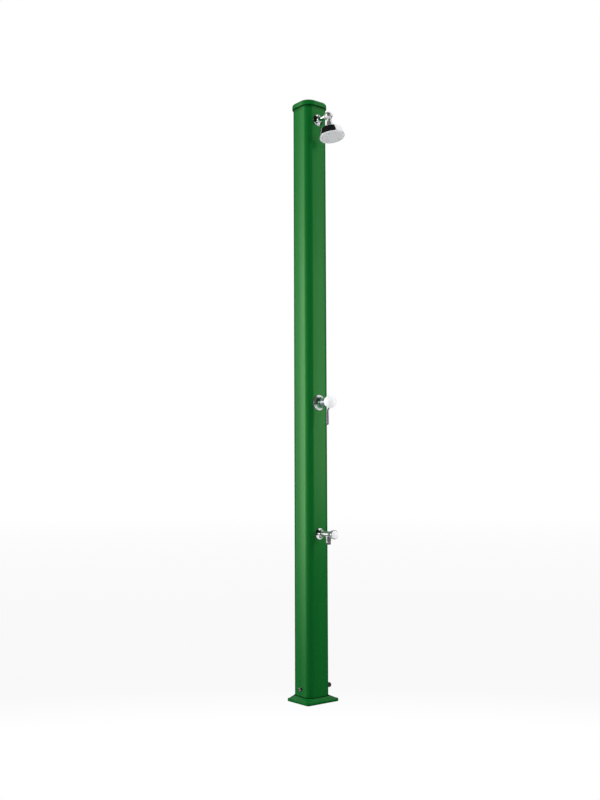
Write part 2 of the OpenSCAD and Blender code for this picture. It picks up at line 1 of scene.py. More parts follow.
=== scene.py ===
# Outdoor shower column: a green rounded-square tube on a bolted foot, carrying a tilting shower
# head at the top, a lever mixer halfway up, a push-button foot tap near the ground and a hose
# inlet. +Z is up, the fittings face -Y (front), the hose inlet points to +X (right).
# Outlines and places are in millimetres; world coordinates and materials are in metres.
import math
import json
import bpy
import bmesh
from mathutils import Matrix, Vector


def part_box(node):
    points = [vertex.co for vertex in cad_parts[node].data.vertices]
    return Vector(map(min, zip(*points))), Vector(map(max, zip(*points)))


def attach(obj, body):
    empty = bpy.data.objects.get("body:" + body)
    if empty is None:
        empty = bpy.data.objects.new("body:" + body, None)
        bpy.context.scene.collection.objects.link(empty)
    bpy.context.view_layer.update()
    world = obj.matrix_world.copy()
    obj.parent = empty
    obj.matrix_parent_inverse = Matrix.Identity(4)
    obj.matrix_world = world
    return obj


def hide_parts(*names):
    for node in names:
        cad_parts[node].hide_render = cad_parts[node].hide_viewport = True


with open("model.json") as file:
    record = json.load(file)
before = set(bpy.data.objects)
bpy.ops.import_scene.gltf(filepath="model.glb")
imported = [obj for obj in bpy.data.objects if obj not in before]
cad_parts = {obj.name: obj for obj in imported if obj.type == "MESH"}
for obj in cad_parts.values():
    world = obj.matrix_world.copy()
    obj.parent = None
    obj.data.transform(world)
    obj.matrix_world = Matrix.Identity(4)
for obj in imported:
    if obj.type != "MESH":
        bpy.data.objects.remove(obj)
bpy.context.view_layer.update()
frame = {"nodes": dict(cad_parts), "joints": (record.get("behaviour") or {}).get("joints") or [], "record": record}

TO_METRES = Matrix.Scale(0.001, 4)
SCENE = bpy.context.scene


# ---------------------------------------------------------------- places read from the frame
def box_mm(node):
    low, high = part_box(node)
    return [v * 1000 for v in low], [v * 1000 for v in high]


def middle_z(node):
    low, high = box_mm(node)
    return (low[2] + high[2]) / 2


JOINT = {joint["name"]: joint for joint in frame["joints"]}
SLOT = {part["node"]: part["material_slot"] for part in frame["record"]["subparts"]}

FACE = -box_mm("column")[0][1]           # from the column axis to each of its faces
CORNER = 26.0                            # outer corner radius of the column
CORNER_CENTRE = FACE - CORNER
WALL = 3                                 # wall thickness of the tube
COLUMN_LOW, COLUMN_HIGH = box_mm("column")[0][2], box_mm("column")[1][2]
CAP_TOP = box_mm("column_cap")[1][2]
_, ball_y, SHOWER_Z = [v * 1000 for v in JOINT["head_tilt"]["pos_m"]]
_, pivot_y, MIXER_Z = [v * 1000 for v in JOINT["mixer_lift"]["pos_m"]]
BALL_OUT, PIVOT_OUT = -ball_y, -pivot_y  # how far each joint stands in front of the axis
TAP_Z = middle_z("tap_flange")
BOLT_Z = middle_z("foot_washers")
INLET_Z = middle_z("inlet_nipple")
INLET_TIP = box_mm("inlet_nipple")[1][0]
HEAD_TILT = 12.5                         # degrees the head leans forward at rest
BOLT_HOLE = 4.3                          # radius of the side bolt holes


# ---------------------------------------------------------------- part frames
def move(x, y, z):
    return Matrix.Translation((x, y, z))


def turn(degrees, axis):
    return Matrix.Rotation(math.radians(degrees), 4, axis)


# Frames on the column axis whose local +Z points out of the named side.
def front(z):
    return TO_METRES @ move(0, 0, z) @ turn(90, "X")


def right(z):
    return TO_METRES @ move(0, 0, z) @ turn(90, "Y")


def left(z):
    return TO_METRES @ move(0, 0, z) @ turn(-90, "Y")


def rear(z):
    return TO_METRES @ move(0, 0, z) @ turn(-90, "X")


AT_BALL = TO_METRES @ move(0, -BALL_OUT, SHOWER_Z)
SPRAY = AT_BALL @ turn(-HEAD_TILT, "X") @ turn(180, "X")    # local +Z: down and forward


# ---------------------------------------------------------------- outlines
def fillet(points, step):
    """Closed outline [(r, h) or (r, h, fillet radius)] with its corners rounded."""
    out = []
    for i, point in enumerate(points):
        radius = point[2] if len(point) > 2 else 0
        if radius <= 0:
            out.append(tuple(point[:2]))
            continue
        corner = Vector(point[:2])
        before, after = Vector(points[i - 1][:2]), Vector(points[(i + 1) % len(points)][:2])
        back, ahead = (before - corner).normalized(), (after - corner).normalized()
        angle = back.angle(ahead)
        if angle > math.radians(176):
            out.append(tuple(point[:2]))
            continue
        # the tangent length never passes the middle of either side
        tangent = min(radius / math.tan(angle / 2),
                      0.49 * (before - corner).length, 0.49 * (after - corner).length)
        fitted = tangent * math.tan(angle / 2)
        centre = corner + (back + ahead).normalized() * (fitted / math.sin(angle / 2))
        start, end = corner + back * tangent - centre, corner + ahead * tangent - centre
        sign = 1 if start.x * end.y - start.y * end.x > 0 else -1
        sweep = math.pi - angle
        count = max(2, int(math.ceil(math.degrees(sweep) / step)))
        for j in range(count + 1):
            turned = sign * sweep * j / count
            c, s = math.cos(turned), math.sin(turned)
            out.append((centre.x + start.x * c - start.y * s,
                        centre.y + start.x * s + start.y * c))
    return out


def arc(radius, height, angles, rise=None):
    """Outline points round (0, height); rise is the vertical half axis of an ellipse."""
    rise = radius if rise is None else rise
    return [(radius * math.cos(math.radians(a)), height + rise * math.sin(math.radians(a)))
            for a in angles]


def rod(radius, low, high):
    return [(0, low), (radius, low), (radius, high), (0, high)]


# ---------------------------------------------------------------- mesh helpers
def new_object(name, mesh, place=None, sharp=32.0):
    """Object from a bmesh; sharp is the angle above which its edges stay sharp."""
    data = bpy.data.meshes.new(name)
    bmesh.ops.remove_doubles(mesh, verts=mesh.verts, dist=1e-4)
    bmesh.ops.recalc_face_normals(mesh, faces=mesh.faces)
    mesh.to_mesh(data)
    mesh.free()
    if place is not None:
        data.transform(place)
    ob = bpy.data.objects.new(name, data)
    SCENE.collection.objects.link(ob)
    ob["smooth"] = sharp
    return ob


def add_lathe(mesh, outline, segments=96, base=0.0, place=None, step=10.0):
    """Solid of revolution about local Z of a closed outline [(r, h above base, fillet)]."""
    rings = []
    for r, h in fillet([(r, base + h, *rest) for r, h, *rest in outline], step):
        if r < 1e-4:
            rings.append([mesh.verts.new((0, 0, h))])
        else:
            angles = [2 * math.pi * k / segments for k in range(segments)]
            rings.append([mesh.verts.new((r * math.cos(a), r * math.sin(a), h))
                          for a in angles])
    for ring, after in zip(rings, rings[1:] + rings[:1]):
        if len(ring) == 1 and len(after) == 1:
            continue
        for k in range(segments):
            q = (k + 1) % segments
            if len(ring) == 1:
                mesh.faces.new([ring[0], after[q], after[k]])
            elif len(after) == 1:
                mesh.faces.new([ring[k], ring[q], after[0]])
            else:
                mesh.faces.new([ring[k], ring[q], after[q], after[k]])
    if place is not None:
        bmesh.ops.transform(mesh, matrix=place, verts=[v for ring in rings for v in ring])


def lathe(name, outline, place, segments=96, base=0.0, sharp=32.0, step=10.0):
    mesh = bmesh.new()
    add_lathe(mesh, outline, segments, base, step=step)
    return new_object(name, mesh, place, sharp)


def loft(name, rings, place=TO_METRES, closed=False, sharp=32.0):
    """Skin over rings of points; a closed loft joins the last ring to the first."""
    mesh = bmesh.new()
    rings = [[mesh.verts.new(point) for point in ring] for ring in rings]
    following = rings[1:] + rings[:1] if closed else rings[1:]
    for ring, after in zip(rings, following):
        for k in range(len(ring)):
            q = (k + 1) % len(ring)
            mesh.faces.new([ring[k], ring[q], after[q], after[k]])
    if not closed:
        mesh.faces.new(rings[0])
        mesh.faces.new(rings[-1])
    return new_object(name, mesh, place, sharp)


def rounded_rectangle(half_x, front_y, rear_y, radius, z, steps):
    """Ring whose corner centres are at +-half_x, -front_y in front and +rear_y behind."""
    corners = [(1, rear_y), (-1, rear_y), (-1, -front_y), (1, -front_y)]
    out = []
    for quarter, (side, y) in enumerate(corners):
        for k in range(steps + 1):
            a = math.pi / 2 * (quarter + k / steps)
            out.append((side * half_x + radius * math.cos(a), y + radius * math.sin(a), z))
    return out


def square_loft(name, levels, closed=False):
    """Loft of rounded squares (corner centre, corner radius, z)."""
    return loft(name, [rounded_rectangle(c, c, c, r, z, 24) for c, r, z in levels],
                closed=closed)


def fillet_levels(levels):
    """Rounds a level list where a fourth number gives the fillet; corner centres stay."""
    out = []
    for i, level in enumerate(levels):
        if len(level) == 3:
            out.append(level)
            continue
        before, after = levels[i - 1], levels[i + 1]
        centre = level[0]
        rounded = fillet([(before[0] + before[1], before[2]),
                          (centre + level[1], level[2], level[3]),
                          (after[0] + after[1], after[2])], 12.0)[1:-1]
        out += [(centre, x - centre, z) for x, z in rounded]
    return out


def boolean(ob, cutter, operation="DIFFERENCE"):
    """Cuts or joins, bakes the result into ob and removes the cutter."""
    modifier = ob.modifiers.new("bool", "BOOLEAN")
    modifier.operation = operation
    modifier.object = cutter
    modifier.solver = "EXACT"
    bpy.context.view_layer.update()
    graph = bpy.context.evaluated_depsgraph_get()
    data = bpy.data.meshes.new_from_object(ob.evaluated_get(graph))
    ob.modifiers.clear()
    old = ob.data
    ob.data = data
    data.name = ob.name
    bpy.data.meshes.remove(old)
    cutter_data = cutter.data
    bpy.data.objects.remove(cutter)
    bpy.data.meshes.remove(cutter_data)


def drill(ob, place, radius, low, high, segments=48):
    boolean(ob, lathe("cut", rod(radius, low, high), place, segments))


def cut_box(ob, low, high):
    mesh = bmesh.new()
    bmesh.ops.create_cube(mesh, size=1.0)
    for v in mesh.verts:
        v.co = Vector([low[i] if v.co[i] < 0 else high[i] for i in range(3)])
    boolean(ob, new_object("cut", mesh, TO_METRES))


def dress(ob, body, slot, *replaced, skin=None):
    """Material, smooth shading with sharp edges, body, and the CAD nodes it stands for."""
    data = ob.data
    data.materials.clear()
    data.materials.append(skin or MATERIALS[slot])
    for polygon in data.polygons:
        polygon.use_smooth = True
    data.set_sharp_from_angle(angle=math.radians(ob["smooth"]))
    normals = ob.modifiers.new("normals", "WEIGHTED_NORMAL")
    normals.keep_sharp = True
    normals.weight = 60
    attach(ob, body)
    if replaced:
        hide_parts(*replaced)


# ---------------------------------------------------------------- shader helpers
class Nodes:
    """An emptied node tree; inputs take a number, a tuple or a socket to link from."""

    def __init__(self, owner):
        owner.use_nodes = True
        self.tree = owner.node_tree
        self.tree.nodes.clear()

    def feed(self, socket, value):
        if isinstance(value, bpy.types.NodeSocket):
            self.tree.links.new(value, socket)
        else:
            socket.default_value = (*value, 1) if socket.type == "RGBA" else value

    def add(self, kind, inputs={}, **settings):
        node = self.tree.nodes.new(kind)
        for key, value in settings.items():
            setattr(node, key, value)
        for key, value in inputs.items():
            self.feed(node.inputs[key], value)
        return node

    def math(self, operation, a, b=0.0, *more):
        values = dict(enumerate((a, b, *more)))
        return self.add("ShaderNodeMath", values, operation=operation).outputs[0]

    def mix(self, factor, a, b, **settings):
        values = {0: factor, 6: a, 7: b}
        return self.add("ShaderNodeMix", values, data_type="RGBA", **settings).outputs[2]

    def mix_shader(self, factor, a, b):
        return self.add("ShaderNodeMixShader", {0: factor, 1: a, 2: b}).outputs[0]


class Surface(Nodes):
    """Material with a principled shader and textures in object coordinates."""

    def __init__(self, name):
        self.material = bpy.data.materials.new(name)
        super().__init__(self.material)
        self.principled = self.add("ShaderNodeBsdfPrincipled")
        self.output = self.add("ShaderNodeOutputMaterial", {0: self.principled.outputs[0]})
        self.place = self.add("ShaderNodeTexCoord").outputs["Object"]

    def xyz(self):
        return self.add("ShaderNodeSeparateXYZ", {0: self.place}).outputs

    def mapping(self, scale):
        return self.add("ShaderNodeMapping", {"Scale": scale, "Vector": self.place}).outputs[0]

    def noise(self, scale, detail=3.0, rough=0.55, stretch=(1, 1, 1), distortion=0.0):
        return self.add("ShaderNodeTexNoise", {
            "Scale": scale, "Detail": detail, "Roughness": rough, "Distortion": distortion,
            "Vector": self.mapping(stretch)}).outputs["Fac"]

    def cells(self, scale):
        """Distance from the nearest Voronoi cell point."""
        inputs = {"Scale": scale, "Vector": self.mapping((1, 1, 1))}
        return self.add("ShaderNodeTexVoronoi", inputs, feature="F1").outputs["Distance"]

    def remap(self, value, to=(0, 1), span=(0.3, 0.7)):
        """Maps the span of values onto the range to."""
        return self.add("ShaderNodeMapRange", {
            "From Min": span[0], "From Max": span[1], "To Min": to[0], "To Max": to[1],
            "Value": value}).outputs[0]

    def bump(self, height, strength, distance, **under):
        inputs = {"Strength": strength, "Distance": distance, "Height": height, **under}
        return self.add("ShaderNodeBump", inputs).outputs[0]

    def shade(self, inputs):
        for name, value in inputs.items():
            self.feed(self.principled.inputs[name], value)
        return self.material


def dimmed(tint, factor):
    return tuple(min(1, c * factor) for c in tint)


# ---------------------------------------------------------------- materials
def green_paint():
    """Powder coat with cloudy tone, dust near the ground, painted shade at the seams, under the cap and in nooks,
    and painted shade where it is seen edge on.
    """
    paint_dark, paint_light = (0.006, 0.188, 0.031), (0.010, 0.230, 0.037)
    # painted shade colours: the first for the seam, under the cap and in nooks, the second for surfaces seen edge
    # on
    painted_shade_tint, painted_edge_shade = (0.001, 0.018, 0.004), (0.001, 0.045, 0.008)
    # sRGB converted to linear
    dust_tint = tuple(((c / 255.0 + 0.055) / 1.055) ** 2.4 for c in (120, 122, 100))
    foot_to_tube = (0.0192, 0.0212)      # heights between which the finish changes
    seam_z = 0.0203                      # joint between foot and tube
    flat_reach = 0.0424                  # half wave of the doming, out from a flat's centre
    flat_dome = 0.0005                   # height of the doming
    m = Surface("green_powder_coat")

    clouds = m.noise(scale=2.2, detail=4, rough=0.6, stretch=(1, 1, 0.35))
    streaks = m.noise(scale=34.0, rough=0.6, stretch=(1, 1, 0.03))
    tone = m.math("ADD", m.math("MULTIPLY", clouds, 0.6), m.math("MULTIPLY", streaks, 0.4))
    colour = m.mix(m.remap(tone, span=(0.32, 0.68)), paint_dark, paint_light)
    # faint dust that settles towards the ground
    low = m.remap(m.xyz()[2], to=(1, 0), span=(0.0, 0.16))
    specks = m.remap(m.noise(scale=60, detail=5, rough=0.7), span=(0.5, 0.8))
    dust = m.math("MULTIPLY", m.math("MULTIPLY", low, specks), 0.05)
    colour = m.mix(dust, colour, dust_tint)
    # painted shade where the foot meets the column, a painted shadow under the cap's rim, and painted shade in
    # nooks from the occlusion node
    z = m.xyz()[2]
    seam_shade = m.remap(m.math("ABSOLUTE", m.math("SUBTRACT", z, seam_z)),
                   to=(0.85, 0.0), span=(0.0006, 0.0019))
    brow_shadow = m.math("MULTIPLY", m.remap(z, to=(0.0, 0.6), span=(2.1640, 2.1770)),
                  m.remap(z, to=(1.0, 0.0), span=(2.1779, 2.1787)))
    nook = m.add("ShaderNodeAmbientOcclusion", {"Distance": 0.010}, samples=8)
    nook_shade = m.remap(nook.outputs["AO"], to=(0.85, 0.0), span=(0.30, 0.80))
    shadow = m.math("MAXIMUM", m.math("MAXIMUM", seam_shade, brow_shadow), nook_shade)
    colour = m.mix(shadow, colour, painted_shade_tint)
    # painted shade: the coat's colour is darkened where it is seen edge on
    facing = m.add("ShaderNodeLayerWeight", {"Blend": 0.5}).outputs["Facing"]
    colour = m.mix(m.remap(facing, to=(0.0, 0.85), span=(0.52, 0.90)), colour, painted_edge_shade)

    peel = m.bump(m.noise(scale=420.0, detail=2, rough=0.5), strength=0.14, distance=0.0002)
    # the flats of the rolled tube are a shade domed
    x, y, _ = m.xyz()
    inset = m.math("MINIMUM", m.math("ABSOLUTE", x), m.math("ABSOLUTE", y))
    wave = m.math("COSINE", m.math("MULTIPLY", inset, math.pi / flat_reach))
    domed = m.bump(m.math("MULTIPLY", wave, flat_dome), strength=1.0, distance=1.0, Normal=peel)
    ripple = m.noise(scale=30.0, detail=2, rough=0.5, stretch=(1, 1, 0.25))
    gloss = m.noise(scale=9.0, detail=4, rough=0.6, stretch=(1, 1, 0.2))
    # the sprayed foot is less glossy than the rolled tube
    return m.shade({
        "Base Color": colour,
        "Roughness": m.remap(gloss, to=(0.16, 0.24)),
        "Specular IOR Level": m.remap(z, to=(0.10, 0.34), span=foot_to_tube),
        "Specular Tint": (0.44, 1.0, 0.32),
        "Coat Weight": m.remap(z, to=(0.0, 0.04), span=foot_to_tube),
        "Coat Roughness": m.remap(m.noise(scale=18.0), to=(0.06, 0.12)),
        "Normal": m.bump(ripple, strength=0.05, distance=0.001, Normal=domed),
        "Coat Normal": domed})


def chrome(name="chrome", rough=0.05, tint=(0.80, 0.81, 0.83), metallic=1.0):
    """Plated metal with smears and small water spots."""
    m = Surface(name)
    smear = m.noise(scale=45.0, detail=5, rough=0.65, distortion=0.4)
    spots = m.remap(m.cells(scale=260.0), to=(1, 0), span=(0.05, 0.16))
    smeared = m.remap(smear, to=(rough, rough + 0.09), span=(0.35, 0.75))
    waves = m.noise(scale=120.0, detail=2, rough=0.5)
    return m.shade({
        "Base Color": m.mix(m.remap(m.noise(scale=16.0)), tint, dimmed(tint, 1.06)),
        "Metallic": metallic,
        "Roughness": m.math("ADD", smeared, m.math("MULTIPLY", spots, 0.05)),
        "Normal": m.bump(waves, strength=0.03, distance=0.0004)})


def metal(name, tint, rough, grain=(1, 1, 1)):
    """Bare metal; grain stretches the fine scratches."""
    m = Surface(name)
    scratches = m.noise(scale=240.0, detail=4, rough=0.6, stretch=grain)
    relief = m.noise(scale=600.0, rough=0.6, stretch=grain)
    return m.shade({
        "Base Color": m.mix(m.remap(m.noise(scale=50.0, detail=4)), tint, dimmed(tint, 0.8)),
        "Metallic": 1.0,
        "Roughness": m.remap(scratches, to=(rough, rough + 0.16)),
        "Normal": m.bump(relief, strength=0.1, distance=0.0002)})


def plastic(name, tint, rough, grain=700.0, relief=0.15, vary=0.12, painted_glow=0.0):
    """Moulding; grain and relief set the surface texture, vary the change of tone, painted_glow the strength of a
    painted glow.
    """
    m = Surface(name)
    if painted_glow:
        # painted glow: a faint emission makes the white moulding read brighter than its lighting gives
        glow = m.mix(m.remap(m.noise(scale=70.0)), tint, dimmed(tint, 0.96))
        m.shade({"Emission Color": glow, "Emission Strength": painted_glow})
    tone = m.remap(m.noise(scale=40.0, detail=4))
    return m.shade({
        "Base Color": m.mix(tone, tint, dimmed(tint, 1 + vary)),
        "Roughness": m.remap(m.noise(scale=90.0), to=(rough, rough + 0.12)),
        "Normal": m.bump(m.noise(scale=grain, rough=0.6), strength=relief, distance=0.0002)})


def spray_face():
    """Pale spray plate with dark pits and lime marks, given a painted glow."""
    m = Surface("spray_face")
    pits = m.remap(m.cells(scale=118.0), to=(1, 0), span=(0.06, 0.30))
    colour = m.mix(pits, (0.90, 0.91, 0.93), (0.20, 0.20, 0.23))
    flecks = m.remap(m.noise(scale=210.0, detail=2, rough=0.6), to=(0, 0.8), span=(0.52, 0.66))
    colour = m.mix(flecks, colour, (0.92, 0.92, 0.93))
    # lime marks left round some of the jets
    marks = m.math("MULTIPLY", m.remap(m.cells(scale=74.0), to=(1, 0), span=(0.12, 0.30)),
                   m.remap(m.noise(scale=26.0), span=(0.42, 0.58)))
    colour = m.mix(marks, colour, (0.16, 0.16, 0.18))
    return m.shade({
        "Base Color": colour,
        # painted glow: the plate's own colour is emitted faintly so that it reads pale
        "Emission Color": colour,
        "Emission Strength": 0.20,
        "Roughness": m.remap(m.noise(scale=90.0), to=(0.25, 0.4)),
        "Normal": m.bump(pits, strength=0.3, distance=-0.0006)})


def mixer_rose():
    """Chrome with a painted reflection of the green column in its centre that ends in a slightly wavering circle.
    """
    centre_z = 1.070
    green_reflection_to_chrome = (0.0195, 0.0235)   # radii between which the colour changes
    m = Surface("mixer_rose")
    x, _, z = m.xyz()
    dz = m.math("SUBTRACT", z, centre_z)
    radius = m.math("SQRT", m.math(
        "ADD", m.math("MULTIPLY", x, x), m.math("MULTIPLY", dz, dz)))
    wander = m.math("MULTIPLY", m.remap(m.noise(scale=60.0), to=(-1, 1)), 0.0008)
    blend = m.remap(m.math("ADD", radius, wander), span=green_reflection_to_chrome)
    waves = m.noise(scale=120.0, detail=2, rough=0.5)
    return m.shade({
        # painted reflection: the centre takes the green of the column it would mirror, fading to chrome towards
        # the rim
        "Base Color": m.mix(blend, (0.10, 0.27, 0.15), (0.80, 0.81, 0.83)),
        "Metallic": 0.78,
        "Roughness": m.remap(m.noise(scale=45.0, detail=5, rough=0.65), to=(0.14, 0.24)),
        "Normal": m.bump(waves, strength=0.03, distance=0.0004)})


MATERIALS = {
    "green_paint": green_paint(),
    "chrome": chrome(),
    "steel": metal("stainless_steel", (0.30, 0.26, 0.30), rough=0.30, grain=(1, 1, 0.1)),
    "brass": metal("machined_brass", (0.72, 0.53, 0.22), rough=0.22),
    "black_rubber": plastic("black_rubber", (0.018, 0.018, 0.019), rough=0.62,
                            grain=900, relief=0.25),
    "black_plastic": plastic("black_moulded_plastic", (0.02, 0.02, 0.022), rough=0.38,
                             grain=1100, relief=0.2),
    "red_rubber": plastic("red_silicone", (0.30, 0.03, 0.02), rough=0.5),
    "hose": plastic("grey_hose", (0.05, 0.055, 0.06), rough=0.42),
    "blue_pipe": plastic("blue_pipe", (0.04, 0.10, 0.34), rough=0.3),
    "red_pipe": plastic("red_pipe", (0.36, 0.04, 0.03), rough=0.3),
    "white_pipe": plastic("white_pipe", (0.72, 0.73, 0.75), rough=0.3),
    "white_cap": plastic("polished_white", (0.93, 0.94, 0.95), rough=0.10,
                         grain=1200, relief=0.03, vary=0.03, painted_glow=0.38),
    "grey_plastic": plastic("pale_grey_plastic", (0.74, 0.75, 0.76), rough=0.28,
                            grain=800, relief=0.08, vary=0.05),
    "nozzle_rubber": plastic("nozzle_silicone", (0.26, 0.26, 0.27), rough=0.45,
                             grain=900, relief=0.15, vary=0.08),
    "ceramic": plastic("lapped_ceramic", (0.82, 0.82, 0.80), rough=0.15,
                       grain=1500, relief=0.03, vary=0.02),
}
SATIN = chrome("satin_chrome", rough=0.34, tint=(0.52, 0.54, 0.61), metallic=0.72)
POLISHED = chrome("polished_chrome", rough=0.10, tint=(0.70, 0.72, 0.73), metallic=0.90)
TAP_SKIN = chrome("tap_chrome", rough=0.22, tint=(0.66, 0.66, 0.67), metallic=0.76)
PALE_SKIN = chrome("pale_chrome", rough=0.20, tint=(0.80, 0.80, 0.81), metallic=0.74)
LEVER_SKIN = chrome("lever_chrome", rough=0.30, tint=(0.27, 0.26, 0.30), metallic=0.80)
SPRAY_FACE = spray_face()
ROSE = mixer_rose()

# CAD nodes that take something other than the material of their slot
NODE_SKINS = {
    "head_nut": PALE_SKIN, "knuckle_housing": PALE_SKIN, "knuckle_barrel": PALE_SKIN,
    "knuckle_caps": PALE_SKIN, "mixer_flange": ROSE, "mixer_body": SATIN,
    "tap_body": TAP_SKIN, "shower_arm": POLISHED, "spray_plate": SPRAY_FACE,
}
for name, node in frame["nodes"].items():
    node.data.materials.clear()
    node.data.materials.append(NODE_SKINS.get(name) or MATERIALS[SLOT[name]])

# ---------------------------------------------------------------- foot
PLATE_CORNER = 9.0
FOOT_BOLT = 26                           # the four floor bolts stand at +-this in x and y
(_, foot_front, _), (foot_right, foot_rear, _) = box_mm("foot")
plate_x = foot_right - PLATE_CORNER
plate_front = -foot_front - PLATE_CORNER
plate_rear = foot_rear - PLATE_CORNER
# each table: corner radius, z
PLATE = [(8.3, 0.0), (8.8, 0.2), (PLATE_CORNER, 0.7), (PLATE_CORNER, 7.6), (8.86, 8.6),
         (8.5, 9.3), (7.9, 9.8), (7.2, 10.0)]
STEP = [(9.6, 10.02), (9.1, 10.12), (8.6, 10.35)]
# seat under the tube, then the spigot inside it and the bore back down
SEAT_AND_SPIGOT = [
    (29.25, COLUMN_LOW - 1.1), (29.0, COLUMN_LOW - 0.5), (28.3, COLUMN_LOW - 0.08),
    (27.6, COLUMN_LOW), (25.0, COLUMN_LOW), (22.7, COLUMN_LOW), (22.7, 75.2), (22.4, 75.8),
    (21.9, 76.0), (19.5, 76.0), (18.9, 75.7), (18.7, 75.0), (18.7, 10.0)]
foot_levels = (
    [(plate_x, plate_front, plate_rear, r, z) for r, z in PLATE]
    + [(plate_x - 3.5, plate_front - 3, plate_rear - 3, r, z) for r, z in STEP]
    + [(CORNER_CENTRE, CORNER_CENTRE, CORNER_CENTRE, r, z) for r, z in SEAT_AND_SPIGOT])
foot = loft("foot_casting", [rounded_rectangle(*level, 20) for level in foot_levels])
for side_x in (-1, 1):
    for side_y in (-1, 1):
        place = TO_METRES @ move(FOOT_BOLT * side_x, FOOT_BOLT * side_y, 0)
        drill(foot, place, 4.5, -1, 11)
# opening in the right side of the spigot
cut_box(foot, (35, -18, 27), (55, 18, 90))
for side in (left, rear):
    drill(foot, side(BOLT_Z), BOLT_HOLE, 30, 60)
dress(foot, "column_body", "green_paint", "foot")

# ---------------------------------------------------------------- column
EASE = 0.5                               # chamfer on the tube ends
BORE = CORNER - WALL
column = square_loft("column_tube", [(CORNER_CENTRE, r, z) for r, z in (
    (CORNER - EASE, COLUMN_LOW), (CORNER, COLUMN_LOW + EASE),
    (CORNER, COLUMN_HIGH - EASE), (CORNER - EASE, COLUMN_HIGH),
    (BORE + EASE, COLUMN_HIGH), (BORE, COLUMN_HIGH - EASE),
    (BORE, COLUMN_LOW + EASE), (BORE + EASE, COLUMN_LOW))], closed=True)
COLUMN_HOLES = [                         # frame, radius
    (front(SHOWER_Z), 9.5), (front(MIXER_Z), 15.5), (front(TAP_Z), 11.0),
    (right(INLET_Z), 10.5), (left(BOLT_Z), BOLT_HOLE), (rear(BOLT_Z), BOLT_HOLE)]
for place, radius in COLUMN_HOLES:
    drill(column, place, radius, 40, 60)
dress(column, "column_body", "green_paint", "column")

# ---------------------------------------------------------------- cap
CAP_CORNER = 38.0
cap_centre = box_mm("column_cap")[1][0] - CAP_CORNER
SEAT_Z = COLUMN_HIGH + 0.02
# hollow plug inside the tube, ending on top of it: corner radius, z, fillet
CAP_PLUG = [(19.4, CAP_TOP - 4), (19.4, CAP_TOP - 30, 0.6), (22.4, CAP_TOP - 30, 0.8),
            (22.4, SEAT_Z), (26.2, SEAT_Z), (26.2, CAP_TOP - 22)]
# overhanging lid: corner radius, z from the cap's top
CAP_LID = [(37.3, -22.0), (37.8, -21.8), (CAP_CORNER, -21.3), (CAP_CORNER, -11.0),
           (37.9, -9.2), (37.5, -7.4), (36.7, -5.7), (35.6, -4.5), (34.0, -3.4), (31.8, -2.5),
           (29.0, -1.75), (25.5, -1.1), (21.0, -0.6), (16.0, -0.25), (9.0, -0.05), (3.0, 0.0)]
cap = square_loft("column_cap_moulding",
                  fillet_levels([(CORNER_CENTRE, *level) for level in CAP_PLUG])
                  + [(cap_centre, r, CAP_TOP + z) for r, z in CAP_LID])
dress(cap, "column_body", "green_paint", "column_cap")

# From here on outlines are (radius, height along the axis, optional fillet radius).
# ---------------------------------------------------------------- side bolts and washers
SIDE_BOLT = [(0, -12.5), (4, -12.5, 0.8), (4, 1.65), (7, 1.65, 0.5), (7, 3.6, 1.2),
             (5.6, 6.0, 1.6), (3.6, 6.7, 1.0), (0, 6.8)]
SIDE_WASHER = [(4.2, 0), (8.2, 0, 0.2), (8.2, 1.6, 0.5), (4.2, 1.6, 0.3)]
for tag, place, bolt_nodes, washer_nodes in (
        ("left", left(BOLT_Z), ["foot_bolts"], ["foot_washers"]),
        ("rear", rear(BOLT_Z), [], [])):
    bolt = lathe("side_bolt_" + tag, SIDE_BOLT, place, 64, base=FACE)
    drill(bolt, place @ move(0, 0, FACE + 3.8), 2.9, 0, 6, segments=6)    # hexagon socket
    dress(bolt, "column_body", "steel", *bolt_nodes)
    washer = lathe("side_washer_" + tag, SIDE_WASHER, place, 64, base=FACE)
    dress(washer, "column_body", "steel", *washer_nodes)

# ---------------------------------------------------------------- hose inlet
reach = INLET_TIP - FACE
NIPPLE = [
    (4.6, -14), (10, -14, 0.6), (10, 2), (12.5, 2, 0.3), (12.5, 6, 0.8), (11.0, 7.4, 0.6),
    (7.6, 8.2, 1.2), (6.6, 11, 1.5), (6.6, 16, 1.0), (8.4, 18.6, 0.8), (8.8, 20, 0.8),
    (8.8, reach - 9, 0.5), (7.0, reach - 8.6, 0.4), (7.0, reach - 6.2, 0.4),
    (8.8, reach - 5.8, 0.5), (8.8, reach - 3.4, 1.0), (8.2, reach - 1.4, 1.2),
    (6.8, reach, 1.0), (4.6, reach, 0.6)]
nipple = lathe("hose_nipple", NIPPLE, right(INLET_Z), 80, base=FACE)
grooves = bmesh.new()                    # twelve grip grooves round the collar
for k in range(12):
    a = math.radians(30 * k)
    add_lathe(grooves, rod(1.3, 1.5, 8.5), 16, FACE,
              move(13.1 * math.cos(a), 13.1 * math.sin(a), 0))
boolean(nipple, new_object("cut", grooves, right(INLET_Z)))
dress(nipple, "column_body", "black_plastic", "inlet_nipple")


